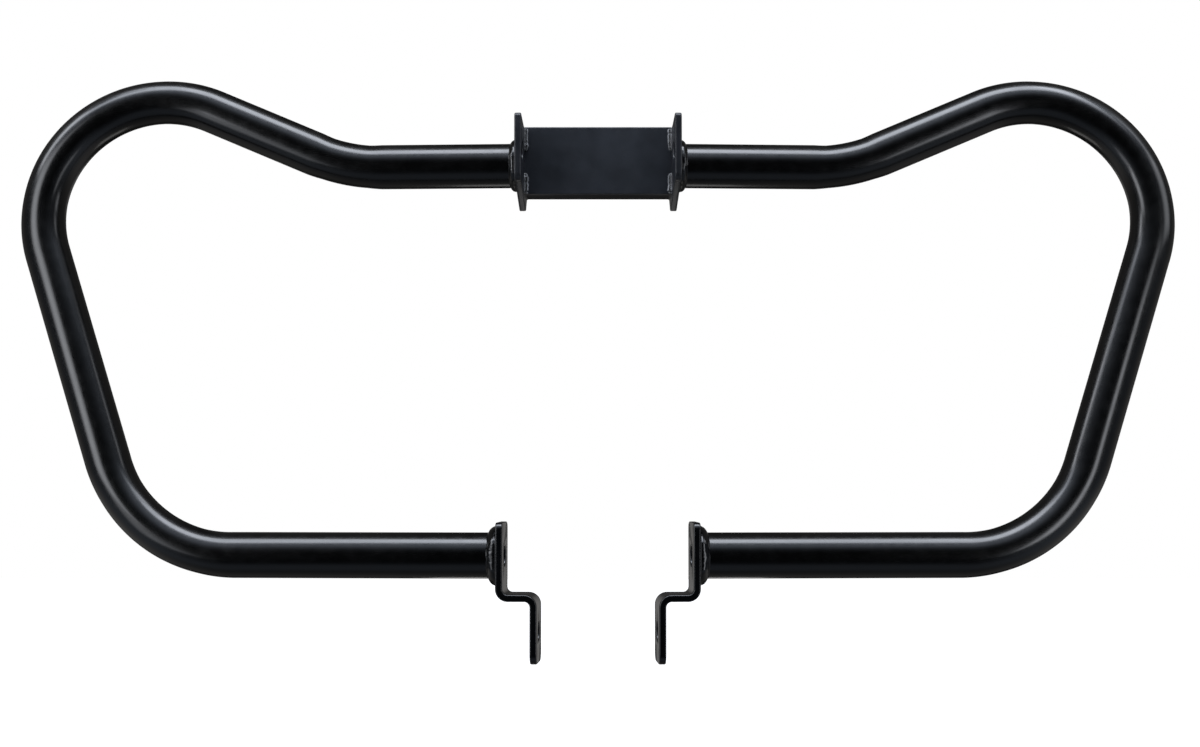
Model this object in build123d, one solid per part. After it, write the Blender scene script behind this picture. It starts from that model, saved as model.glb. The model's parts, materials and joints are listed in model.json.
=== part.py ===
from build123d import *
import os

# Front crash bars: two bent tubes joined by a recessed channel bracket.
# Millimetres. X runs across, Y runs to the rear, Z up.
# The origin is on the axis of the upper cross bolt, midway between the side plates.
os.makedirs("parts", exist_ok=True)

# Guard tubes. Corner positions are where the straight runs would meet.
tube_od = 31.75
tube_wall = 2.4
tube_ahead_of_bolt = 31.0
tube_below_bolt = 5.0
top_run_sweep = 3.3
shoulder_x = 181.0
shoulder_bend_r = 124.0
crown_x = 455.2
crown_back = 24.2
crown_rise = 116.8
crown_bend_r = 86.0
foot_x = 322.1
foot_ahead = 32.0
foot_drop = 277.2
foot_bend_r = 97.0
bottom_run_sweep = 3.3

# Side plates, cut from flat plate and set square to the tube ends
plate_thickness = 4.8
plate_outer_x = 58.5
plate_length = 64.0
tube_to_plate_front = 19.5
ear_rise = 36.6
ear_slope_length = 23.5
ear_corner_r = 3.0
nose_drop = 13.4
nose_r = 6.6
nose_length = 7.8
nose_notch_r = 1.5
heel_drop = 30.3
heel_from_front = 41.0
heel_r = 2.0
heel_ramp_length = 9.5
plate_rear_corner_r = 5.0
vent_hole_d = 13.0
vent_hole_ahead = 6.5
vent_hole_rise = 10.35
cross_bolt_hole_d = 10.5

# Centre channel, rolled section with its open side to the rear
channel_height = 49.0
channel_top_rise = 30.0
channel_depth = 28.0
channel_wall = 3.0
channel_edge_r = 1.0
channel_root_r = 3.0
channel_behind_tube = 9.1

# Lower straps, flat bar bent to a Z
strap_thickness = 4.8
strap_width = 38.1
strap_outer_x = 68.9
strap_offset = 23.6
strap_bend_inner_r = 3.8
strap_top_rise = 23.1
strap_shelf_drop = 28.2
strap_end_drop = 73.4
strap_top_corner_r = 4.8
strap_end_corner_r = 7.5
strap_vent_d = 14.6
strap_bolt_hole_d = 14.0
strap_bolt_from_end = 21.8

# Weld beads
tube_bead_leg_on_plate = 3.2
tube_bead_leg_on_tube = 4.6
strap_bead_leg_on_strap = 5.2
strap_bead_leg_on_tube = 6.8
bead_bulge = 0.5
panel_bead_leg_on_panel = 3.2
panel_bead_leg_on_plate = 3.0
panel_bead_upper_length = 16.7
panel_bead_lower_length = 15.6
panel_bead_below_channel_top = 1.3

# Tube corners and the planes that its two ends sit on
tube_r = tube_od / 2
top_direction = Vector(1, 0, 0).rotate(Axis.Z, top_run_sweep)
bottom_direction = Vector(1, 0, 0).rotate(Axis.Z, bottom_run_sweep)
top_end = Vector(plate_outer_x, -tube_ahead_of_bolt, -tube_below_bolt)
shoulder = top_end + top_direction * ((shoulder_x - plate_outer_x) / top_direction.X)
crown = Vector(crown_x, top_end.Y + crown_back, top_end.Z + crown_rise)
foot = Vector(foot_x, top_end.Y - foot_ahead, top_end.Z - foot_drop)
bottom_end = foot - bottom_direction * ((foot_x - strap_outer_x) / bottom_direction.X)


def upright_plane(origin, outward):
    # Local x runs to the rear, local y up, and the normal points out along the tube
    return Plane(origin=origin, x_dir=Vector(0, 0, 1).cross(outward), z_dir=outward)


plate_plane = upright_plane(top_end, top_direction)
strap_plane = upright_plane(bottom_end, bottom_direction)


def guard_tube():
    corners = [top_end, shoulder, crown, foot, bottom_end]
    path = FilletPolyline(corners, radius=[shoulder_bend_r, crown_bend_r, foot_bend_r])
    wall = Circle(tube_r) - Circle(tube_r - tube_wall)
    return sweep(plate_plane * wall, path=path)


def plate_outline():
    front = -tube_to_plate_front
    rear = front + plate_length
    channel_bottom = channel_top_rise - channel_height
    heel_x = front + heel_from_front
    corners = [
        (front, ear_rise),
        (front, -nose_drop),
        (front + nose_length, -nose_drop),
        (heel_x, -heel_drop),
        (heel_x + heel_ramp_length, channel_bottom),
        (rear, channel_bottom),
        (rear, channel_top_rise),
        (front + ear_slope_length, channel_top_rise),
    ]
    radii = [
        ear_corner_r,
        nose_r,
        nose_notch_r,
        heel_r,
        heel_r,
        plate_rear_corner_r,
        plate_rear_corner_r,
        0,
    ]
    return make_face(FilletPolyline(corners, radius=radii, close=True))


def side_plate():
    plate = extrude(plate_plane * plate_outline(), -plate_thickness)
    vent = Pos(-vent_hole_ahead, vent_hole_rise) * Circle(vent_hole_d / 2)
    plate -= extrude(plate_plane * vent, -plate_thickness)
    bolt_hole = Plane.YZ * Circle(cross_bolt_hole_d / 2)
    return plate - extrude(bolt_hole, plate_outer_x)


def centre_channel():
    front = top_end.Y + channel_behind_tube
    rear = front + channel_depth
    top = top_end.Z + channel_top_rise
    bottom = top - channel_height
    outer = [(rear, top), (front, top), (front, bottom), (rear, bottom)]
    inner = [
        (rear, bottom + channel_wall),
        (front + channel_wall, bottom + channel_wall),
        (front + channel_wall, top - channel_wall),
        (rear, top - channel_wall),
    ]
    radii = [0, channel_edge_r, channel_edge_r, 0, 0, channel_root_r, channel_root_r, 0]
    section = Plane.YZ * make_face(FilletPolyline(outer + inner, radius=radii, close=True))
    channel = extrude(section, plate_outer_x, both=True)
    end_plane = plate_plane.offset(-plate_thickness)
    channel = split(channel, bisect_by=end_plane, keep=Keep.BOTTOM)
    channel = mirror(channel, about=Plane.YZ)
    return split(channel, bisect_by=end_plane, keep=Keep.BOTTOM)


def strap_face_outline(top_rise, end_drop, width):
    outline = Pos(0, (top_rise - end_drop) / 2) * Rectangle(width, top_rise + end_drop)
    upper_corners = outline.vertices().sort_by(Axis.Y)[2:]
    outline = fillet(upper_corners, strap_top_corner_r)
    lower_corners = outline.vertices().sort_by(Axis.Y)[:2]
    return fillet(lower_corners, strap_end_corner_r)


def lower_strap():
    half = strap_thickness / 2
    shelf_top = half - strap_shelf_drop
    shelf_bottom = -half - strap_shelf_drop
    bend_outer_r = strap_bend_inner_r + strap_thickness
    corners = [
        (0, strap_top_rise),
        (0, shelf_bottom),
        (-strap_offset, shelf_bottom),
        (-strap_offset, -strap_end_drop),
        (-strap_offset - strap_thickness, -strap_end_drop),
        (-strap_offset - strap_thickness, shelf_top),
        (-strap_thickness, shelf_top),
        (-strap_thickness, strap_top_rise),
    ]
    bends = [bend_outer_r, strap_bend_inner_r]
    radii = [0] + bends + [0, 0] + bends + [0]
    section_plane = Plane(origin=bottom_end, x_dir=bottom_direction, z_dir=-strap_plane.x_dir)
    section = make_face(FilletPolyline(corners, radius=radii, close=True))
    strap = extrude(section_plane * section, strap_width / 2, both=True)
    outline = strap_face_outline(strap_top_rise, strap_end_drop, strap_width)
    reach = strap_offset + strap_thickness
    strap = strap & extrude(strap_plane * outline, -reach)
    strap -= extrude(strap_plane * Circle(strap_vent_d / 2), -strap_thickness)
    bolt_hole = Pos(0, strap_bolt_from_end - strap_end_drop) * Circle(strap_bolt_hole_d / 2)
    return strap - extrude(strap_plane * bolt_hole, -reach)


def bead_section(root, first_toe, second_toe):
    # Fillet bead section with its middle standing proud of the line between its toes
    outward = (first_toe + second_toe - root * 2).normalized()
    crest = (first_toe + second_toe) / 2 + outward * bead_bulge
    return make_face(Polyline(root, first_toe, crest, second_toe, close=True))


def ring_bead(end_plane, leg_on_face, leg_on_tube, trim_outline):
    # Turned about the tube axis, then trimmed to the edge of the flat piece that it sits on
    root = Vector(tube_r, 0)
    section = bead_section(root, root + Vector(leg_on_face, 0), root + Vector(0, leg_on_tube))
    turned = revolve(Plane.XZ * section, Axis.Z)
    trim = extrude(trim_outline, leg_on_tube)
    return end_plane * (turned & trim)


def panel_bead(top, length):
    # Upright bead in the corner between the channel's face and the side plate
    inner_face = plate_plane.offset(-plate_thickness)
    along_plate = -inner_face.x_dir
    face_y = top_end.Y + channel_behind_tube
    corner = inner_face.origin - along_plate * ((face_y - inner_face.origin.Y) / inner_face.x_dir.Y)
    root = Vector(corner.X, corner.Y)
    on_panel = root - Vector(panel_bead_leg_on_panel, 0)
    on_plate = root + along_plate * panel_bead_leg_on_plate
    section = bead_section(root, on_panel, on_plate)
    return extrude(Pos(0, 0, top - length) * section, length)


def main():
    panel_top = top_end.Z + channel_top_rise
    panel_bottom = panel_top - channel_height
    strap_outline = strap_face_outline(strap_top_rise, strap_end_drop, strap_width)
    upper_bead_top = panel_top - panel_bead_below_channel_top
    lower_bead_top = panel_bottom + panel_bead_lower_length
    right_hand = {
        "guard_tube": guard_tube(),
        "side_plate": side_plate(),
        "lower_strap": lower_strap(),
        "tube_weld": ring_bead(
            plate_plane, tube_bead_leg_on_plate, tube_bead_leg_on_tube, plate_outline()
        ),
        "strap_weld": ring_bead(
            strap_plane, strap_bead_leg_on_strap, strap_bead_leg_on_tube, strap_outline
        ),
        "panel_weld_upper": panel_bead(upper_bead_top, panel_bead_upper_length),
        "panel_weld_lower": panel_bead(lower_bead_top, panel_bead_lower_length),
    }
    pieces = {"centre_channel": centre_channel()}
    for name, piece in right_hand.items():
        pieces[name + "_right"] = piece
        pieces[name + "_left"] = mirror(piece, about=Plane.YZ)
    for name, piece in pieces.items():
        solid = piece.solid()
        solid.label = name
        export_step(solid, "parts/" + name + ".step")


main()
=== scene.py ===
# Front crash bars: finer meshes of the CAD solids, their paint, and the photo's light and camera.
import json
import math
from contextlib import contextmanager

import bmesh
import bpy
from mathutils import Matrix, Vector, noise

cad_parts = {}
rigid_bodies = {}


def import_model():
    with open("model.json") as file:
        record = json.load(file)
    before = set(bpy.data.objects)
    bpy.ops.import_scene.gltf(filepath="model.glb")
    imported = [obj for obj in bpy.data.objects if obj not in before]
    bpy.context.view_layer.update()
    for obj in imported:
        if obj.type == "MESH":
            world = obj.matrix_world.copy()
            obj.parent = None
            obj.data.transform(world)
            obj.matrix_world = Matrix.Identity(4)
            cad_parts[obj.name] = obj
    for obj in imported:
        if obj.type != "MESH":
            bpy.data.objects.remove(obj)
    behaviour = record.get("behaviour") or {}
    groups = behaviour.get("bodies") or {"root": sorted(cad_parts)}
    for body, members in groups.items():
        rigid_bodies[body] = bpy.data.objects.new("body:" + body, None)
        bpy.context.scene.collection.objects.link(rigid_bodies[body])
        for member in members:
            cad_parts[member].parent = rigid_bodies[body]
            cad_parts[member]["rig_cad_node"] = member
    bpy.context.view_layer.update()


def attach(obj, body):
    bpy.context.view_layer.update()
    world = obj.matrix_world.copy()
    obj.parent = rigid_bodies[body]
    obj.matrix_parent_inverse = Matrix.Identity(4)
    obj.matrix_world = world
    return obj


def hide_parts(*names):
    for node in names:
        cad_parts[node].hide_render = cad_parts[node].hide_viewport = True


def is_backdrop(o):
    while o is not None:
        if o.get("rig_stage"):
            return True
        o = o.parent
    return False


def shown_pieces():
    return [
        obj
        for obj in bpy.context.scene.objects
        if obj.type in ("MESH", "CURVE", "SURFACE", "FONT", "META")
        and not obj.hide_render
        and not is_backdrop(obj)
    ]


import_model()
MM = 0.001
UP = Vector((0, 0, 1))

# Sizes in millimetres, as in the part's source
TUBE_R = 15.875
TUBE_WALL = 2.4
TUBE_BEND_RADII = (124.0, 86.0, 97.0)
TOP_SWEEP = math.radians(3.3)
LOW_SWEEP = math.radians(3.3)
TOP_END = Vector((58.5, -31.0, -5.0))
SHOULDER_X = 181.0
CROWN_X = 455.2
CROWN_BACK = 24.2
CROWN_RISE = 116.8
FOOT_X = 322.1
FOOT_AHEAD = 32.0
FOOT_DROP = 277.2
PLATE_T = 4.8
PLATE_FRONT = -19.5
PLATE_REAR = PLATE_FRONT + 64.0
PLATE_REAR_CORNER_R = 5.0
EAR_RISE = 36.6
EAR_SLOPE_LENGTH = 23.5
EAR_CORNER_R = 3.0
NOSE_DROP = 13.4
NOSE_R = 6.6
NOSE_LENGTH = 7.8
NOSE_NOTCH_R = 1.5
HEEL_X = PLATE_FRONT + 41.0
HEEL_DROP = 30.3
HEEL_R = 2.0
HEEL_RAMP_LENGTH = 9.5
PLATE_VENT = (-6.5, 10.35, 6.5)
CROSS_BOLT_R = 5.25
STRAP_T = 4.8
STRAP_W = 38.1
STRAP_OUTER_X = 68.9
STRAP_RISE = 23.1
STRAP_SHELF_DROP = 28.2
STRAP_END_DROP = 73.4
STRAP_OFFSET = 23.6
STRAP_BEND_INNER_R = 3.8
STRAP_TOP_CORNER_R = 4.8
STRAP_END_CORNER_R = 7.5
STRAP_VENT_R = 7.3
STRAP_BOLT_R = 7.0
STRAP_BOLT_FROM_END = 21.8
CHANNEL_HEIGHT = 49.0
CHANNEL_BEHIND_TUBE = 9.1
PANEL_Y = TOP_END.y + CHANNEL_BEHIND_TUBE
PANEL_RISE = 30.0
PANEL_DROP = PANEL_RISE - CHANNEL_HEIGHT
PANEL_TOP = TOP_END.z + PANEL_RISE
PANEL_BOTTOM = TOP_END.z + PANEL_DROP
PANEL_BEAD_ON_PANEL = 3.2
PANEL_BEAD_ON_PLATE = 3.0

# Corners where the tube's straight runs would meet
top_dir = Vector((math.cos(TOP_SWEEP), math.sin(TOP_SWEEP), 0))
low_dir = Vector((math.cos(LOW_SWEEP), math.sin(LOW_SWEEP), 0))
SHOULDER = TOP_END + top_dir * ((SHOULDER_X - TOP_END.x) / top_dir.x)
CROWN = TOP_END + Vector((CROWN_X - TOP_END.x, CROWN_BACK, CROWN_RISE))
FOOT = Vector((FOOT_X, TOP_END.y - FOOT_AHEAD, TOP_END.z - FOOT_DROP))
LOW_END = FOOT - low_dir * ((FOOT.x - STRAP_OUTER_X) / low_dir.x)

# Rounding of the cut edges of plates and straps
EDGE_ROUNDING = 0.9

# Share of the radius by which a drawn bend is flatter across its plane
BEND_FLATTENING = 0.035

# Fineness of the meshes: counts of facets and steps, and spacings
HOLE_FACETS = 48
CORNER_STEPS = 8
TUBE_FACETS = 96
STRAIGHT_STEP = 12
BEND_STEP_DEGREES = 1.5
STRAP_BEND_STEPS = 12
RING_STEPS_PER_PUDDLE = 12
STITCH_STEP = 0.16

# Along a stitch: spacing of its puddles, lengths of its tapers, and place of its crater
STITCH_PUDDLE = 1.5
STITCH_OUTER_TAPER = 0.9
STITCH_INNER_TAPER = 3.0
STITCH_CRATER_FROM_END = 1.7

# Sockets of a colour mix node
MIX_FACTOR, MIX_A, MIX_B, MIX_RESULT = 0, 6, 7, 2


def upright(origin, outward):
    """Local x to the rear, y up, z outward along the tube."""
    rear = UP.cross(outward)
    m = Matrix((rear, UP, outward)).transposed().to_4x4()
    m.translation = origin
    return m


PLATE_FRAME = upright(TOP_END, top_dir)
STRAP_FRAME = upright(LOW_END, low_dir)


def node(tree, kind, **settings):
    """New node, with each setting given to its socket or else to its property of that name."""
    n = tree.nodes.new(kind)
    for key, value in settings.items():
        if key in n.inputs:
            n.inputs[key].default_value = value
        else:
            setattr(n, key, value)
    return n


def maths(tree, operation, *values):
    n = node(tree, "ShaderNodeMath", operation=operation)
    for i, value in enumerate(values):
        if isinstance(value, (int, float)):
            n.inputs[i].default_value = value
        else:
            tree.links.new(value, n.inputs[i])
    return n.outputs[0]


def product(tree, first, *others):
    for value in others:
        first = maths(tree, "MULTIPLY", first, value)
    return first


def remap(tree, value, from_min, from_max, to_min, to_max):
    n = tree.nodes.new("ShaderNodeMapRange")
    tree.links.new(value, n.inputs["Value"])
    n.inputs["From Min"].default_value = from_min
    n.inputs["From Max"].default_value = from_max
    n.inputs["To Min"].default_value = to_min
    n.inputs["To Max"].default_value = to_max
    return n.outputs[0]


def coat_group():
    """Sprayed coat: orange peel, slow waviness and fine speckle, in object coordinates."""
    g = bpy.data.node_groups.new("sprayed_coat", "ShaderNodeTree")
    sockets = (
        ("INPUT", "Colour", "NodeSocketColor"),
        ("INPUT", "Peel", "NodeSocketFloat"),
        ("INPUT", "Rough low", "NodeSocketFloat"),
        ("INPUT", "Rough high", "NodeSocketFloat"),
        ("OUTPUT", "Colour", "NodeSocketColor"),
        ("OUTPUT", "Roughness", "NodeSocketFloat"),
        ("OUTPUT", "Normal", "NodeSocketVector"),
    )
    for way, name, kind in sockets:
        g.interface.new_socket(name, in_out=way, socket_type=kind)
    given = g.nodes.new("NodeGroupInput").outputs
    result = g.nodes.new("NodeGroupOutput").inputs
    position = g.nodes.new("ShaderNodeTexCoord").outputs["Object"]

    def noise_at(scale, detail, roughness):
        n = node(g, "ShaderNodeTexNoise", Scale=scale, Detail=detail, Roughness=roughness)
        g.links.new(position, n.inputs["Vector"])
        return n.outputs["Fac"]

    peel = noise_at(scale=620.0, detail=1.5, roughness=0.45)
    wave = noise_at(scale=55.0, detail=2.0, roughness=0.5)
    mottle = noise_at(scale=130.0, detail=3.0, roughness=0.6)
    speckle = noise_at(scale=2600.0, detail=1.0, roughness=0.5)

    height = maths(g, "ADD", product(g, peel, 0.6), product(g, wave, 1.6))
    height = maths(g, "ADD", height, product(g, speckle, 0.05))
    bump = node(g, "ShaderNodeBump", Distance=0.00022)
    g.links.new(given["Peel"], bump.inputs["Strength"])
    g.links.new(height, bump.inputs["Height"])
    g.links.new(bump.outputs["Normal"], result["Normal"])

    span = maths(g, "SUBTRACT", given["Rough high"], given["Rough low"])
    share = remap(g, mottle, 0.32, 0.68, 0.0, 1.0)
    roughness = maths(g, "ADD", given["Rough low"], product(g, share, span))
    g.links.new(roughness, result["Roughness"])

    tone = node(g, "ShaderNodeVectorMath", operation="SCALE")
    g.links.new(given["Colour"], tone.inputs[0])
    g.links.new(remap(g, wave, 0.3, 0.7, 0.82, 1.18), tone.inputs["Scale"])
    g.links.new(tone.outputs[0], result["Colour"])
    return g


COAT = coat_group()
PAINT_IOR = 1.5


def coated(name, colour, peel, roughness, clear_coat):
    """Painted steel. roughness is (lowest, highest), and clear_coat is (weight, roughness)."""
    m = bpy.data.materials.new(name)
    m.use_nodes = True
    t = m.node_tree
    paint = t.nodes["Principled BSDF"].inputs
    g = node(t, "ShaderNodeGroup", node_tree=COAT)
    g.inputs["Colour"].default_value = (*colour, 1)
    g.inputs["Peel"].default_value = peel
    g.inputs["Rough low"].default_value, g.inputs["Rough high"].default_value = roughness
    t.links.new(g.outputs["Colour"], paint["Base Color"])
    t.links.new(g.outputs["Roughness"], paint["Roughness"])
    t.links.new(g.outputs["Normal"], paint["Normal"])
    paint["IOR"].default_value = PAINT_IOR
    paint["Coat Weight"].default_value, paint["Coat Roughness"].default_value = clear_coat
    paint["Coat IOR"].default_value = PAINT_IOR
    m.diffuse_color = (*colour, 1)
    return m


def paint_dust_and_highlight(material, pale):
    """Pale overspray and scale, together with a painted highlight, on the crest of a bead, where
    its mesh says.
    """
    t = material.node_tree
    base = t.nodes["Principled BSDF"].inputs["Base Color"]
    coat = base.links[0].from_socket
    mark = node(t, "ShaderNodeAttribute", attribute_name="dust_and_highlight")
    # Coat mixed toward pale where the mesh marks dust and painted highlight
    mix = node(t, "ShaderNodeMix", data_type="RGBA")
    mix.inputs[MIX_B].default_value = (*pale, 1)
    t.links.new(mark.outputs["Fac"], mix.inputs[MIX_FACTOR])
    t.links.new(coat, mix.inputs[MIX_A])
    t.links.new(mix.outputs[MIX_RESULT], base)


TUBE_COAT = coated(
    "gloss_tube_coat",
    colour=(0.0002, 0.0002, 0.0002),
    peel=0.04,
    roughness=(0.20, 0.26),
    clear_coat=(0.3, 0.10),
)
CHANNEL_COAT = coated(
    "satin_channel_coat",
    colour=(0.0200, 0.0228, 0.0280),
    peel=0.08,
    roughness=(0.30, 0.38),
    clear_coat=(0.2, 0.15),
)
PLATE_COAT = coated(
    "satin_plate_coat",
    colour=(0.0108, 0.0121, 0.0152),
    peel=0.04,
    roughness=(0.28, 0.36),
    clear_coat=(0.2, 0.12),
)
STRAP_COAT = coated(
    "gloss_strap_coat",
    colour=(0.0012, 0.0014, 0.0018),
    peel=0.06,
    roughness=(0.16, 0.22),
    clear_coat=(0.3, 0.08),
)
RING_COAT = coated(
    "gloss_ring_coat",
    colour=(0.0003, 0.0003, 0.0004),
    peel=0.03,
    roughness=(0.08, 0.12),
    clear_coat=(0.2, 0.05),
)
STITCH_COAT = coated(
    "dusty_stitch_coat_with_painted_highlight",
    colour=(0.0040, 0.0044, 0.0050),
    peel=0.10,
    roughness=(0.20, 0.30),
    clear_coat=(0.2, 0.10),
)
# Stitches get pale dust that also serves as a painted highlight on their crest and plate-side toe
paint_dust_and_highlight(STITCH_COAT, (0.290, 0.296, 0.310))


def hand(side):
    return "right" if side > 0 else "left"


@contextmanager
def edited(mesh):
    bm = bmesh.new()
    bm.from_mesh(mesh)
    yield bm
    bm.to_mesh(mesh)
    bm.free()


def add_object(name, mesh, material, cad_node, sharp_angle=0):
    """Smooth shaded piece in place of a CAD solid, with edges above an angle kept sharp."""
    mesh.transform(Matrix.Scale(MM, 4))
    for p in mesh.polygons:
        p.use_smooth = True
    mesh.materials.clear()
    mesh.materials.append(material)
    o = bpy.data.objects.new(name, mesh)
    bpy.context.scene.collection.objects.link(o)
    if sharp_angle:
        with edited(mesh) as bm:
            for e in bm.edges:
                if len(e.link_faces) == 2 and e.calc_face_angle(0) > math.radians(sharp_angle):
                    e.smooth = False
    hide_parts(cad_node)
    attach(o, "root")


def band(first, second, count):
    """Quads between two rings of vertices."""
    quads = []
    for j in range(count):
        k = (j + 1) % count
        quads.append((first + j, first + k, second + k, second + j))
    return quads


def mesh_from(name, verts, faces, side):
    """Mesh of a right-hand shape, mirrored for the left side."""
    if side < 0:
        verts = [(-v[0], v[1], v[2]) for v in verts]
        faces = [tuple(reversed(f)) for f in faces]
    me = bpy.data.meshes.new(name)
    me.from_pydata([tuple(v) for v in verts], [], faces)
    me.update()
    with edited(me) as bm:
        bmesh.ops.recalc_face_normals(bm, faces=bm.faces)
    return me


def rounded(corners):
    """Closed outline with (x, y, radius) corners rounded."""
    outline = []
    for i, (x, y, r) in enumerate(corners):
        corner = Vector((x, y))
        if r <= 0:
            outline.append(corner)
            continue
        a = (Vector(corners[i - 1][:2]) - corner).normalized()
        b = (Vector(corners[(i + 1) % len(corners)][:2]) - corner).normalized()
        half = a.angle(b) / 2
        reach = r / math.tan(half)
        centre = corner + (a + b).normalized() * (r / math.sin(half))
        p, q = corner + a * reach - centre, corner + b * reach - centre
        turn = p.angle_signed(q)
        for k in range(CORNER_STEPS + 1):
            w = -turn * k / CORNER_STEPS
            cos, sin = math.cos(w), math.sin(w)
            outline.append(centre + Vector((p.x * cos - p.y * sin, p.x * sin + p.y * cos)))
    return outline


def circle(x, y, r):
    angles = [2 * math.pi * k / HOLE_FACETS for k in range(HOLE_FACETS)]
    return [Vector((x + r * math.cos(a), y + r * math.sin(a))) for a in angles]


def flat_blank(outline, holes, thickness):
    """Mesh of a cut plate with its edges rounded, lying in z = 0 to -thickness."""
    curve = bpy.data.curves.new("blank", "CURVE")
    curve.dimensions = "2D"
    curve.fill_mode = "BOTH"
    curve.extrude = thickness / 2 - EDGE_ROUNDING
    curve.bevel_depth = EDGE_ROUNDING
    curve.bevel_resolution = 2
    curve.offset = -EDGE_ROUNDING
    for loop in [outline] + [circle(*hole) for hole in holes]:
        spline = curve.splines.new("POLY")
        spline.points.add(len(loop) - 1)
        for point, v in zip(spline.points, loop):
            point.co = (v.x, v.y, 0, 1)
        spline.use_cyclic_u = True
    blank = bpy.data.objects.new("blank", curve)
    bpy.context.scene.collection.objects.link(blank)
    depsgraph = bpy.context.evaluated_depsgraph_get()
    me = bpy.data.meshes.new_from_object(blank.evaluated_get(depsgraph))
    bpy.data.objects.remove(blank)
    bpy.data.curves.remove(curve)
    with edited(me) as bm:
        bmesh.ops.remove_doubles(bm, verts=bm.verts, dist=1e-4)
        bmesh.ops.translate(bm, verts=bm.verts, vec=(0, 0, -thickness / 2))
    return me


def place_flat(mesh, frame, side):
    mesh.transform(frame)
    if side < 0:
        mesh.transform(Matrix.Diagonal((-1, 1, 1, 1)))
        mesh.flip_normals()


def tube_path():
    """Stations along the tube: point, direction, way into the bend, and how fully it is bent."""
    corners = [TOP_END, SHOULDER, CROWN, FOOT, LOW_END]
    stations = []
    start = corners[0]
    for i, r in enumerate(TUBE_BEND_RADII):
        before, corner, after = corners[i : i + 3]
        u, v = (before - corner).normalized(), (after - corner).normalized()
        half = u.angle(v) / 2
        reach = r / math.tan(half)
        entry = corner + u * reach
        centre = corner + (u + v).normalized() * (r / math.sin(half))
        steps = max(2, int((entry - start).length / STRAIGHT_STEP))
        for j in range(1 if i else 0, steps):
            stations.append((start.lerp(entry, j / steps), -u, (centre - entry).normalized(), 0.0))
        x, y = (entry - centre).normalized(), -u
        turn = math.pi - 2 * half
        steps = max(12, int(math.degrees(turn) / BEND_STEP_DEGREES))
        for j in range(steps + 1):
            w = turn * j / steps
            radial = x * math.cos(w) + y * math.sin(w)
            ahead = y * math.cos(w) - x * math.sin(w)
            bent = min(1.0, j / steps * 5, (steps - j) / steps * 5)
            stations.append((centre + radial * r, ahead, -radial, bent))
        start = corner + v * reach
    end = corners[-1]
    ahead = (end - start).normalized()
    inward = stations[-1][2]
    steps = int((end - start).length / STRAIGHT_STEP)
    for j in range(1, steps + 1):
        stations.append((start.lerp(end, j / steps), ahead, inward, 0.0))
    return stations


def guard_tube(side):
    stations = tube_path()
    verts, faces = [], []
    across = UP.cross(stations[0][1]).normalized()
    for radius in (TUBE_R, TUBE_R - TUBE_WALL):
        a = across
        for i, (point, ahead, inward, bent) in enumerate(stations):
            ring = len(verts)
            a = (a - ahead * a.dot(ahead)).normalized()
            b = ahead.cross(a)
            for k in range(TUBE_FACETS):
                w = 2 * math.pi * k / TUBE_FACETS
                d = a * math.cos(w) + b * math.sin(w)
                squash = d.dot(inward) * radius * BEND_FLATTENING * bent
                verts.append(point + (d * radius - inward * squash))
            if i:
                faces += band(ring - TUBE_FACETS, ring, TUBE_FACETS)
    rings = len(stations)
    for end in (0, rings - 1):
        faces += band(end * TUBE_FACETS, (rings + end) * TUBE_FACETS, TUBE_FACETS)
    name = "guard_tube_" + hand(side)
    me = mesh_from(name, verts, faces, side)
    add_object("tube_" + hand(side), me, TUBE_COAT, name, 40)


PLATE_OUTLINE = rounded(
    [
        (PLATE_FRONT, EAR_RISE, EAR_CORNER_R),
        (PLATE_FRONT, -NOSE_DROP, NOSE_R),
        (PLATE_FRONT + NOSE_LENGTH, -NOSE_DROP, NOSE_NOTCH_R),
        (HEEL_X, -HEEL_DROP, HEEL_R),
        (HEEL_X + HEEL_RAMP_LENGTH, PANEL_DROP, HEEL_R),
        (PLATE_REAR, PANEL_DROP, PLATE_REAR_CORNER_R),
        (PLATE_REAR, PANEL_RISE, PLATE_REAR_CORNER_R),
        (PLATE_FRONT + EAR_SLOPE_LENGTH, PANEL_RISE, 0),
    ]
)


def side_plate(side):
    bolt_in_plate = Vector((TOP_END.x + TOP_END.y * math.tan(TOP_SWEEP), 0, 0))
    bolt = PLATE_FRAME.inverted() @ bolt_in_plate
    me = flat_blank(PLATE_OUTLINE, [PLATE_VENT, (bolt.x, bolt.y, CROSS_BOLT_R)], PLATE_T)
    place_flat(me, PLATE_FRAME, side)
    cad_node = "side_plate_" + hand(side)
    add_object("plate_" + hand(side), me, PLATE_COAT, cad_node, 32)


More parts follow.
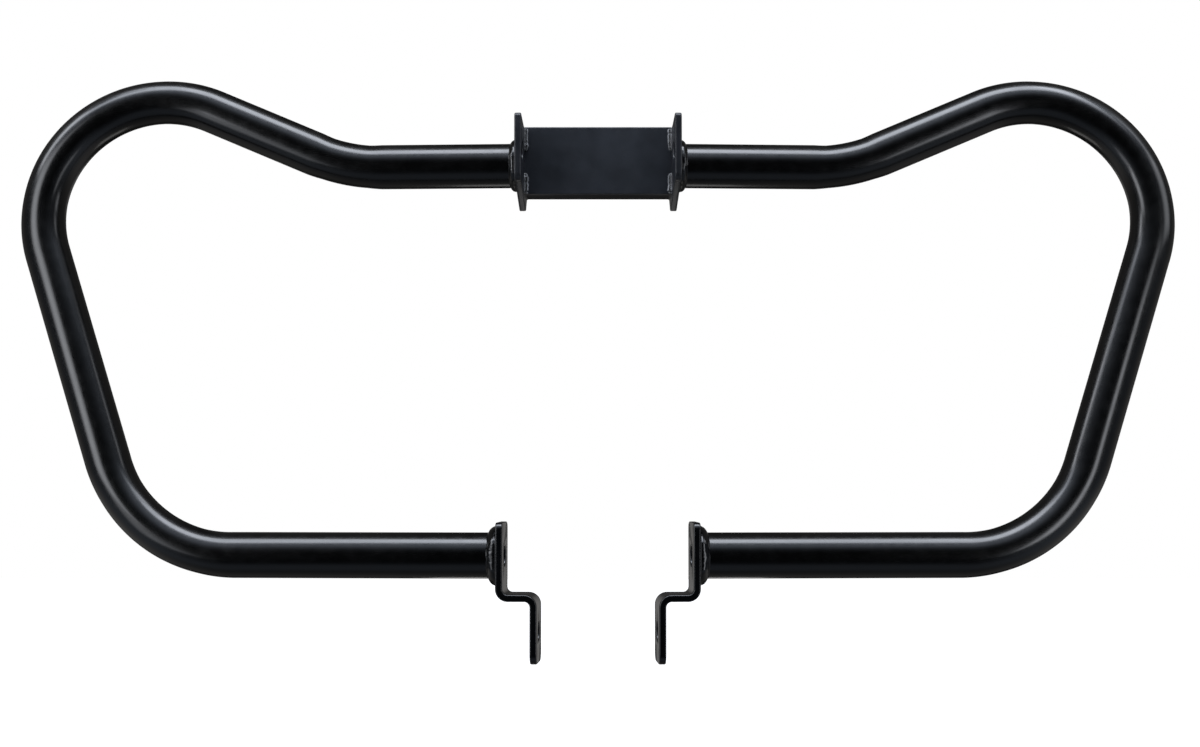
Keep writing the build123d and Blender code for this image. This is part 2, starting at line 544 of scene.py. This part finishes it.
def lower_strap(side):
    """Flat blank, cut across where it bends and then folded to its Z."""
    bend_r = STRAP_BEND_INNER_R + STRAP_T / 2
    arc = bend_r * math.pi / 2
    top_leg = STRAP_RISE + STRAP_SHELF_DROP - bend_r
    shelf = STRAP_OFFSET - 2 * bend_r
    end_leg = STRAP_END_DROP - STRAP_SHELF_DROP - bend_r
    first_bend = top_leg
    shelf_start = first_bend + arc
    second_bend = shelf_start + shelf
    end_start = top_leg + 2 * arc + shelf
    length = end_start + end_leg
    half_w = STRAP_W / 2
    outline = rounded(
        [
            (-half_w, 0, STRAP_TOP_CORNER_R),
            (half_w, 0, STRAP_TOP_CORNER_R),
            (half_w, -length, STRAP_END_CORNER_R),
            (-half_w, -length, STRAP_END_CORNER_R),
        ]
    )
    vent = (0, -STRAP_RISE, STRAP_VENT_R)
    bolt = (0, -(length - STRAP_BOLT_FROM_END), STRAP_BOLT_R)
    me = flat_blank(outline, [vent, bolt], STRAP_T)

    def folded(s, out):
        """Place outward and up of a point at a length along the blank's middle."""
        if s <= first_bend:
            return out, STRAP_RISE - s
        if s <= shelf_start:
            a = (s - first_bend) / bend_r
            drop = (bend_r + out) * math.sin(a)
            return -bend_r + (bend_r + out) * math.cos(a), -STRAP_SHELF_DROP + bend_r - drop
        if s <= second_bend:
            return -bend_r - (s - shelf_start), -STRAP_SHELF_DROP - out
        if s <= end_start:
            a = (s - second_bend) / bend_r
            rise = (bend_r - out) * math.cos(a)
            inward = -bend_r - shelf - (bend_r - out) * math.sin(a)
            return inward, -STRAP_SHELF_DROP - bend_r + rise
        return -STRAP_OFFSET + out, -STRAP_SHELF_DROP - bend_r - (s - end_start)

    with edited(me) as bm:
        for start in (first_bend, second_bend):
            for k in range(STRAP_BEND_STEPS + 1):
                cut = (0, -(start + arc * k / STRAP_BEND_STEPS), 0)
                geom = bm.verts[:] + bm.edges[:] + bm.faces[:]
                bmesh.ops.bisect_plane(bm, geom=geom, dist=1e-5, plane_co=cut, plane_no=(0, 1, 0))
        for v in bm.verts:
            out, rise = folded(-v.co.y, v.co.z + STRAP_T / 2)
            v.co = (v.co.x, rise, out - STRAP_T / 2)
    place_flat(me, STRAP_FRAME, side)
    cad_node = "lower_strap_" + hand(side)
    add_object("strap_" + hand(side), me, STRAP_COAT, cad_node, 32)


def edge_distance(outline, angle):
    """How far the outline is from its origin in a direction."""
    d = Vector((math.cos(angle), math.sin(angle)))
    best = math.inf
    for i, p in enumerate(outline):
        q = outline[(i + 1) % len(outline)]
        e = q - p
        across = d.x * e.y - d.y * e.x
        if abs(across) < 1e-9:
            continue
        distance = (p.x * e.y - p.y * e.x) / across
        along = (p.x * d.y - p.y * d.x) / across
        if distance > 0 and -1e-6 <= along <= 1 + 1e-6:
            best = min(best, distance)
    return best


def ripple(phase, across):
    """Height of stacked crescents, from 0 to 1, for a bead laid one puddle at a time."""
    front = 0.2
    f = (phase + 0.5 * (2 * across - 1) ** 2) % 1.0
    return (1 - f) ** 0.7 if f > front else (f / front) * (1 - front) ** 0.7


def peak(at, middle, width, power=2):
    """Bump of height 1 round a middle. A power of 4 gives it a flat top."""
    return math.exp(-(((at - middle) / width) ** power))


def bow(la, lb, rise, toe, steps):
    """Outline of a bead from its toe on one face to its toe on the other."""
    first, last = Vector((la, 0)), Vector((0, lb))
    p, q = Vector((la - toe, 0)), Vector((0, lb - toe))
    middle, half = (p + q) / 2, (q - p).length / 2
    out = Vector((lb, la)).normalized()
    along = (q - p).normalized()
    r = (half * half + rise * rise) / (2 * rise)
    sweep = math.asin(half / r)
    line = [first, p.lerp(first, 0.4) + Vector((0, toe * 0.12))]
    for k in range(1, steps):
        w = sweep * (2 * k / steps - 1)
        line.append(middle + along * (r * math.sin(w)) + out * (r * math.cos(w) - r + rise))
    line += [q.lerp(last, 0.4) + Vector((toe * 0.12, 0)), last]
    return line


def bead_mesh(name, stations, closed, side):
    """Stations are (root, direction a, direction b, outline, lift, and pale dust with painted
    highlight of each point).
    """
    root_depth = 0.15
    verts, faces, dust_and_highlight = [], [], []
    for root, da, db, line, lifts, marks in stations:
        out = (da + db).normalized()
        for q, lift in zip(line, lifts):
            verts.append(root + da * q.x + db * q.y + out * lift)
        verts.append(root - (da + db) * root_depth)
        dust_and_highlight += marks + [0.0]
    count = len(stations[0][3]) + 1
    n = len(stations)
    for i in range(n if closed else n - 1):
        faces += band(i * count, ((i + 1) % n) * count, count)
    if not closed:
        faces.append(tuple(range(count)))
        faces.append(tuple((n - 1) * count + j for j in reversed(range(count))))
    me = mesh_from(name, verts, faces, side)
    # Each point's share of pale dust and painted highlight
    me.attributes.new("dust_and_highlight", "FLOAT", "POINT").data.foreach_set("value", dust_and_highlight)
    return me


def ring_weld(side, frame, outline, on_face, on_tube, crown_rise, puddles, name, cad_name):
    """Lumpy fillet round a tube end, kept inside the edge of the plate that it sits on."""
    stations = []
    turned = frame.to_3x3()
    axial = turned @ UP
    for i in range(puddles * RING_STEPS_PER_PUDDLE):
        puddle = i / RING_STEPS_PER_PUDDLE
        w = 2 * math.pi * i / (puddles * RING_STEPS_PER_PUDDLE)
        d = Vector((math.cos(w), math.sin(w), 0))
        wander = noise.noise(Vector((d.x * 3, d.y * 3, side + on_face)))
        tube_wander = noise.noise(Vector((d.x * 4, d.y * 4, 7 + side)))
        room = edge_distance(outline, w) - TUBE_R - 0.1
        la = min(on_face * (1 + 0.10 * wander), room)
        lb = min(on_tube, on_tube * (1 + 0.10 * tube_wander))
        line = bow(la, lb, crown_rise * min(1.0, la / on_face), 0.5, 16)
        root = frame @ (d * TUBE_R)
        radial = turned @ d
        lifts = []
        for j, q in enumerate(line):
            t = j / (len(line) - 1)
            at = root + radial * q.x + axial * q.y
            lump = noise.noise(at * 0.28) * 0.10 + noise.noise(at * 0.9) * 0.03
            relief = lump + 0.07 * (ripple(puddle + 0.4 * wander, t) - 0.5)
            lifts.append(math.sin(math.pi * t) * crown_rise * relief)
        stations.append((root, radial, axial, line, lifts, [0.0] * len(line)))
    me = bead_mesh(name + hand(side), stations, True, side)
    add_object(name + hand(side), me, RING_COAT, cad_name + hand(side))


def panel_stitch(side, top, length, which, ball):
    """Short upright bead with a groove, a dusty crest and plate-side toe that also carry a painted
    highlight, and, where it ends in a ball, a crater.
    """
    rear = PLATE_FRAME.to_3x3() @ Vector((1, 0, 0))
    inner = TOP_END - top_dir * PLATE_T
    root = inner + rear * ((PANEL_Y - inner.y) / rear.y)
    stations = []
    n = int(length / STITCH_STEP)
    for i in range(n + 1):
        s = i / n * length
        outer = length - s if ball else s
        taper = STITCH_OUTER_TAPER if outer < length / 2 else STITCH_INNER_TAPER
        fat = math.sqrt(1 - (1 - min(1.0, min(s, length - s) / taper)) ** 2)
        crater = peak(outer, STITCH_CRATER_FROM_END, 0.6) if ball else 0.0
        wander = noise.noise(Vector((s * 0.45, side * 5 + top, 0)))
        k = min(1.0, (0.88 + 0.30 * wander) * (0.12 + 0.88 * fat))
        line = bow(PANEL_BEAD_ON_PANEL * k, PANEL_BEAD_ON_PLATE * k, 0.55 * fat + 0.02, 0.15, 14)
        fade = 0.25 + 0.75 * max(0.0, 1 - outer / (length * 1.05)) ** 0.7
        lifts, marks = [], []
        for j in range(len(line)):
            t = j / (len(line) - 1)
            bumps = noise.noise(Vector((s * 1.7, t * 2.2, side * 3 + top)))
            grain = noise.noise(Vector((s * 2.9, t * 4.0, side * 9 + top)))
            groove = peak(t, 0.58 + 0.05 * wander, 0.09)
            crest = peak(t, 0.27, 0.17, 4)
            edge = 0.42 * peak(t, 0.83, 0.12, 4)
            lift = 0.14 * bumps + 0.10 * (ripple(s / STITCH_PUDDLE, t) - 0.5) - 0.55 * groove
            lifts.append(fat * math.sin(math.pi * t) * (lift - 0.45 * crater * crest))
            # Pale dust that is also a painted highlight: strongest on the crest and on the toe at
            # the plate, faded along the stitch, none in the crater
            mark = (crest + edge) * (1 - crater) * fade * (1.0 + 0.9 * grain)
            marks.append(max(0.0, min(1.0, mark)))
        at = Vector((root.x, PANEL_Y, top - s))
        stations.append((at, Vector((-1, 0, 0)), -rear, line, lifts, marks))
    name = "panel_bead_" + which + hand(side)
    me = bead_mesh(name, stations, False, side)
    add_object(name, me, STITCH_COAT, "panel_weld_" + which + hand(side))


# The strap's face above its first bend, which the lower ring beads sit on
STRAP_FACE = rounded(
    [
        (-STRAP_W / 2, STRAP_RISE, STRAP_TOP_CORNER_R),
        (STRAP_W / 2, STRAP_RISE, STRAP_TOP_CORNER_R),
        (STRAP_W / 2, -26.0, 0),
        (-STRAP_W / 2, -26.0, 0),
    ]
)
for side in (1, -1):
    guard_tube(side)
    side_plate(side)
    lower_strap(side)
    ring_weld(
        side,
        PLATE_FRAME,
        PLATE_OUTLINE,
        on_face=3.2,
        on_tube=4.6,
        crown_rise=0.95,
        puddles=46,
        name="tube_bead_",
        cad_name="tube_weld_",
    )
    ring_weld(
        side,
        STRAP_FRAME,
        STRAP_FACE,
        on_face=5.2,
        on_tube=6.8,
        crown_rise=1.35,
        puddles=26,
        name="strap_bead_",
        cad_name="strap_weld_",
    )
    panel_stitch(side, top=PANEL_TOP - 1.3, length=16.7, which="upper_", ball=False)
    panel_stitch(side, top=PANEL_BOTTOM + 15.6, length=15.6, which="lower_", ball=True)


def dress_channel():
    """The channel keeps its own solid, with its edges eased."""
    channel = next(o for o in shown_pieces() if o.get("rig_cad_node") == "centre_channel")
    channel.data.materials.clear()
    channel.data.materials.append(CHANNEL_COAT)
    weld = channel.modifiers.new("weld", "WELD")
    weld.merge_threshold = 0.00001
    bevel = channel.modifiers.new("bevel", "BEVEL")
    bevel.width = 0.0004
    bevel.segments = 3
    bevel.limit_method = "ANGLE"
    bevel.angle_limit = math.radians(40)
    for p in channel.data.polygons:
        p.use_smooth = True


dress_channel()


def pale_floor():
    """Floor that the camera sees as white and that neither lights the part nor shows in it."""
    half, z = 9.0, -0.80
    me = bpy.data.meshes.new("floor")
    corners = [(-half, -half, z), (half, -half, z), (half, half, z), (-half, half, z)]
    me.from_pydata(corners, [], [(0, 1, 2, 3)])
    o = bpy.data.objects.new("floor", me)
    bpy.context.scene.collection.objects.link(o)
    m = bpy.data.materials.new("pale_floor")
    m.use_nodes = True
    paint = m.node_tree.nodes["Principled BSDF"].inputs
    paint["Base Color"].default_value = (0.9, 0.9, 0.9, 1)
    paint["Roughness"].default_value = 0.9
    paint["Emission Color"].default_value = (1, 1, 1, 1)
    paint["Emission Strength"].default_value = 1.0
    me.materials.append(m)
    o.visible_glossy = False
    o.visible_diffuse = False
    o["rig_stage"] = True


pale_floor()


def area(name, at, look, size, strength, colour, turn=0.0, spread=180):
    """Rectangular soft light whose surface radiance is strength."""
    light = bpy.data.lights.new(name, "AREA")
    light.shape = "RECTANGLE"
    light.size, light.size_y = size
    light.energy = strength * math.pi * size[0] * size[1]
    light.color = colour
    light.spread = math.radians(spread)
    o = bpy.data.objects.new(name, light)
    o.location = at
    o.visible_camera = False
    o.rotation_euler = (Vector(look) - Vector(at)).to_track_quat("-Z", "Y").to_euler()
    o.rotation_euler.rotate_axis("Z", math.radians(turn))
    bpy.context.scene.collection.objects.link(o)


# Part of a softbox, its width against the whole, and its share of the strength
SOFTBOX_LAYERS = (("core", 0.55, 0.46), ("middle", 1.0, 0.36), ("surround", 1.45, 0.18))


def softbox(name, at, look, size, strength, colour, turn=0.0, spread=180):
    """A bright middle inside two wider, dimmer surrounds."""
    for layer, grow, share in SOFTBOX_LAYERS:
        grown = (size[0] * grow, size[1] * (1 + (grow - 1) * 0.4))
        area(name + "_" + layer, at, look, grown, strength * share, colour, turn, spread)


# Each light has its place, the point that it faces, its width and height, and its strength
COOL = (0.93, 0.98, 1.08)
SIDE = (0.97, 1.0, 1.06)
WARM = (1.0, 0.98, 0.96)
softbox("top_light", (0, -0.72, 2.90), (0, -0.03, 0), (2.50, 1.20), 16.0, COOL)
softbox("left_wing", (-1.20, -0.71, 1.52), (-0.35, -0.03, 0.0), (0.80, 0.46), 7.0, COOL, turn=45)
softbox(
    "right_wing",
    (1.12, -0.62, 1.62),
    (1.40, -0.03, 0.1),
    (1.20, 0.40),
    7.5,
    COOL,
    turn=-45,
    spread=105,
)
softbox("left_light", (-0.83, -0.58, 0.08), (-0.2, 0, -0.08), (0.32, 0.62), 9.0, SIDE)
softbox("left_low", (-0.96, -0.84, -0.42), (-0.2, 0, -0.10), (0.36, 0.50), 3.0, SIDE)
softbox("right_light", (1.08, -1.02, -0.22), (0.75, 0, -0.10), (0.30, 0.85), 3.2, SIDE, spread=90)
softbox("right_fill", (0.805, -0.203, 0.15), (0.2, 0, -0.05), (0.22, 0.24), 4.0, SIDE)
softbox("left_high", (-1.10, -0.29, 0.68), (0.34, -0.06, -0.19), (0.26, 0.40), 11.0, SIDE)
softbox("right_high", (1.10, -0.29, 0.68), (-0.34, -0.06, -0.19), (0.20, 0.36), 3.5, SIDE)
area("bounce_card", (0, 0.43, -0.60), (0, 0.0, -0.03), (0.34, 0.22), 0.78, WARM)

# Brightness against height, from straight down at 0 to straight up at 1
GLOW_STOPS = (
    (0.0, 0.12),
    (0.03, 0.16),
    (0.11, 0.16),
    (0.18, 0.06),
    (0.25, 0.02),
    (0.33, 0.01),
    (0.45, 0.008),
    (0.55, 0.004),
    (0.64, 0.008),
    (0.72, 0.04),
    (0.82, 0.32),
    (0.90, 0.75),
    (1.0, 0.40),
)
WALL_STOPS = (
    (0.0, 0.0),
    (0.10, 0.10),
    (0.20, 0.24),
    (0.30, 0.26),
    (0.43, 0.13),
    (0.57, 0.08),
    (0.72, 0.08),
    (0.90, 0.12),
    (1.0, 0.0),
)


def studio_world():
    """White to the camera. To everything else, a dim room with a soft glow ahead and above."""
    w = bpy.data.worlds.new("studio")
    bpy.context.scene.world = w
    w.use_nodes = True
    t = w.node_tree
    t.nodes.clear()
    out = t.nodes.new("ShaderNodeOutputWorld")
    white = node(t, "ShaderNodeBackground", Color=(1.0, 1.0, 1.0, 1), Strength=1.0)
    room = t.nodes.new("ShaderNodeBackground")
    mix = t.nodes.new("ShaderNodeMixShader")
    path = t.nodes.new("ShaderNodeLightPath")
    direction = t.nodes.new("ShaderNodeTexCoord").outputs["Generated"]
    split = t.nodes.new("ShaderNodeSeparateXYZ")
    t.links.new(direction, split.inputs[0])
    upward = split.outputs["Z"]
    height = remap(t, upward, -1, 1, 0, 1)
    sideways = maths(t, "ABSOLUTE", split.outputs["X"])
    ahead = remap(t, split.outputs["Y"], 0.30, -0.30, 0.0, 1.0)

    def profile(stops):
        curve = t.nodes.new("ShaderNodeFloatCurve")
        points = curve.mapping.curves[0].points
        points[0].location, points[1].location = stops[0], stops[-1]
        for stop in stops[1:-1]:
            points.new(*stop)
        curve.mapping.update()
        t.links.new(height, curve.inputs["Value"])
        return curve.outputs["Value"]

    # Warm to the rear and cool ahead
    tint = node(t, "ShaderNodeMix", data_type="RGBA")
    tint.inputs[MIX_A].default_value = (1.02, 1.0, 0.98, 1)
    tint.inputs[MIX_B].default_value = (0.88, 1.0, 1.20, 1)
    t.links.new(ahead, tint.inputs[MIX_FACTOR])
    t.links.new(tint.outputs[MIX_RESULT], room.inputs["Color"])

    # Glow from the ground and from above, ahead of the part and straight below it
    low = remap(t, upward, -0.60, -0.40, 0.6, 0.0)
    glow = product(t, profile(GLOW_STOPS), maths(t, "MAXIMUM", ahead, low))

    # Walls of the room to either side
    walls = product(t, profile(WALL_STOPS), remap(t, sideways, 0.35, 0.75, 0.0, 1.0))

    # Back of the room: a faint band near the horizon, weaker to the sides and straight behind
    off_middle = remap(t, sideways, 0.07, 0.13, 0.0, 1.0)
    above_horizon = remap(t, upward, -0.02, 0.03, 0.0, 0.28)
    bright = product(
        t,
        maths(t, "MAXIMUM", off_middle, above_horizon),
        remap(t, sideways, 0.35, 0.60, 1.0, 0.0),
        remap(t, upward, 0.02, 0.20, 1.0, 0.25),
        remap(t, upward, -0.30, -0.15, 0.0, 1.0),
    )
    back = maths(t, "ADD", product(t, bright, 0.21), 0.012)
    back = product(t, maths(t, "SUBTRACT", 1.0, ahead), back)

    total = maths(t, "ADD", maths(t, "ADD", glow, walls), back)
    t.links.new(total, room.inputs["Strength"])
    t.links.new(path.outputs["Is Camera Ray"], mix.inputs[0])
    t.links.new(room.outputs[0], mix.inputs[1])
    t.links.new(white.outputs[0], mix.inputs[2])
    t.links.new(mix.outputs[0], out.inputs[0])


studio_world()


def photo_camera():
    """Camera fitted to the photo, whose focal length was found in its pixels."""
    focal_px, photo_width_px, sensor_mm = 1958.0, 1200.0, 36.0
    data = bpy.data.cameras.new("camera")
    data.sensor_width = sensor_mm
    data.lens = focal_px / photo_width_px * sensor_mm
    data.clip_end = 50.0
    camera = bpy.data.objects.new("camera", data)
    camera.location = (0.0014, -1.4303, -0.2237)
    camera.rotation_euler = (math.radians(90 + 2.836), 0, 0)
    bpy.context.scene.collection.objects.link(camera)
    bpy.context.scene.camera = camera


photo_camera()
bpy.context.scene.view_settings.view_transform = "Standard"
bpy.context.scene.view_settings.look = "None"
